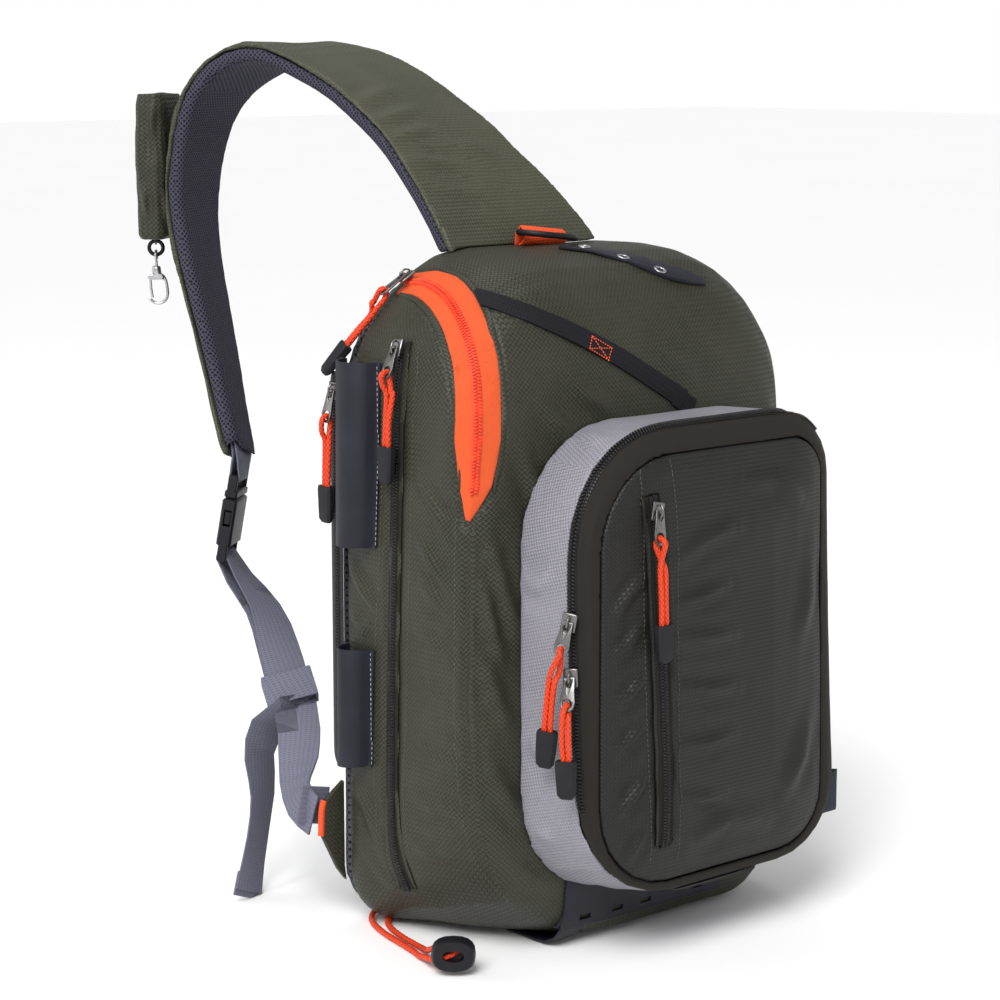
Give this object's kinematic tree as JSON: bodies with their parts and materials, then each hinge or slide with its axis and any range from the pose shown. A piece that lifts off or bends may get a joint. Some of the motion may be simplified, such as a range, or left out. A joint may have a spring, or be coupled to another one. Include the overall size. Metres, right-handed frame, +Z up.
{
  "type": "fishing tackle sling bag",
  "caption": "Sling bag with a deep zipped front pocket, padded mesh-lined shoulder strap with side buckle, rod tubes, cord zip pulls, D-ring and a strap pouch with a snap hook.",
  "frame": {"origin": "on the floor under the middle of the bag's flat base", "axes": "+Z up, -Y towards the front pocket, +Y towards the wearer, +X to the bag's right side seen from the front"},
  "size_m": [0.3091, 0.443, 0.5553],
  "materials": {
    "olive": "dark olive woven nylon, matte with a soft sheen",
    "olive_strap": "lighter olive woven nylon, matte",
    "grey_fabric": "light grey coarse woven nylon, matte",
    "air_mesh": "grey spacer mesh with small holes",
    "foam_back": "dark padded back panel, matte mesh cloth",
    "webbing_grey": "ribbed grey polyester webbing",
    "webbing_black": "near black ribbed webbing",
    "orange": "bright red-orange braided cord and tape",
    "zip_tape": "brownish black herringbone zip tape",
    "zip_coil": "black nylon coil, satin",
    "sheet_navy": "dark navy coated sheet, satin",
    "black_plastic": "black moulded plastic, satin",
    "black_rubber": "black rubber pull ends, satin",
    "pull_metal": "gunmetal zinc sliders and tabs, polished",
    "hook_metal": "polished nickel"
  },
  "bodies": {
    "bag": {"body_shell": "olive", "back_pad": "foam_back", "main_zip_tape": "orange", "main_zip_coil": "orange", "side_zip_tape": "zip_tape", "side_zip_coil": "zip_coil", "back_zip_coil": "zip_coil", "compression_webbing": "webbing_black", "lash_strip": "sheet_navy", "rod_tube_upper": "sheet_navy", "rod_tube_lower": "sheet_navy", "base_strap": "sheet_navy", "pocket_side_wall": "grey_fabric", "pocket_zip_tape": "zip_tape", "pocket_panel": "olive", "front_zip_tape": "zip_tape", "front_zip_coil": "zip_coil", "pocket_zip_coil": "zip_coil", "side_loop": "webbing_black", "buckle_plug": "black_plastic", "buckle_socket": "black_plastic", "strap_end_webbing": "webbing_grey", "strap_cover": "olive_strap", "strap_mesh": "air_mesh", "adjuster_webbing": "webbing_grey", "webbing_keeper": "webbing_grey", "wing_tab": "olive", "ring_loop": "orange", "strap_pouch": "olive", "o_ring": "black_plastic", "hook_swivel": "hook_metal", "base_cord": "orange", "cord_lock": "black_plastic", "main_pull_slider": "pull_metal", "main_pull_tab": "pull_metal", "main_pull_cord": "orange", "main_pull_end": "black_rubber", "side_pull_slider": "pull_metal", "side_pull_tab": "pull_metal", "side_pull_cord": "orange", "side_pull_end": "black_rubber", "back_pull_slider": "pull_metal", "back_pull_tab": "pull_metal", "back_pull_cord": "orange", "back_pull_end": "black_rubber", "pocket_pull_upper_slider": "pull_metal", "pocket_pull_upper_tab": "pull_metal", "pocket_pull_upper_cord": "orange", "pocket_pull_upper_end": "black_rubber", "pocket_pull_lower_slider": "pull_metal", "pocket_pull_lower_tab": "pull_metal", "pocket_pull_lower_cord": "orange", "pocket_pull_lower_end": "black_rubber", "front_pull_slider": "pull_metal", "front_pull_tab": "pull_metal", "front_pull_cord": "orange", "front_pull_end": "black_rubber"},
    "d_ring": {"d_ring": "black_plastic"},
    "hook": {"hook_body": "hook_metal"},
    "gate": {"hook_gate": "hook_metal"}
  },
  "joints": [
    {"name": "d_ring_swing", "type": "hinge", "parent": "bag", "child": "d_ring", "pos_m": [0.0075, 0.0332, 0.4344], "axis": [-0.9925, 0, 0.1219], "range_deg": [0, 100]},
    {"name": "hook_turn", "type": "hinge", "parent": "bag", "child": "hook", "pos_m": [-0.1189, 0.28665, 0.4], "axis": [0, 0, 1], "continuous": true},
    {"name": "hook_gate", "type": "hinge", "parent": "hook", "child": "gate", "pos_m": [-0.1223, 0.2895, 0.3973], "axis": [-0.6429, -0.7659, 0], "range_deg": [0, 25], "stiffness_Nm_per_rad": 0.01}
  ]
}
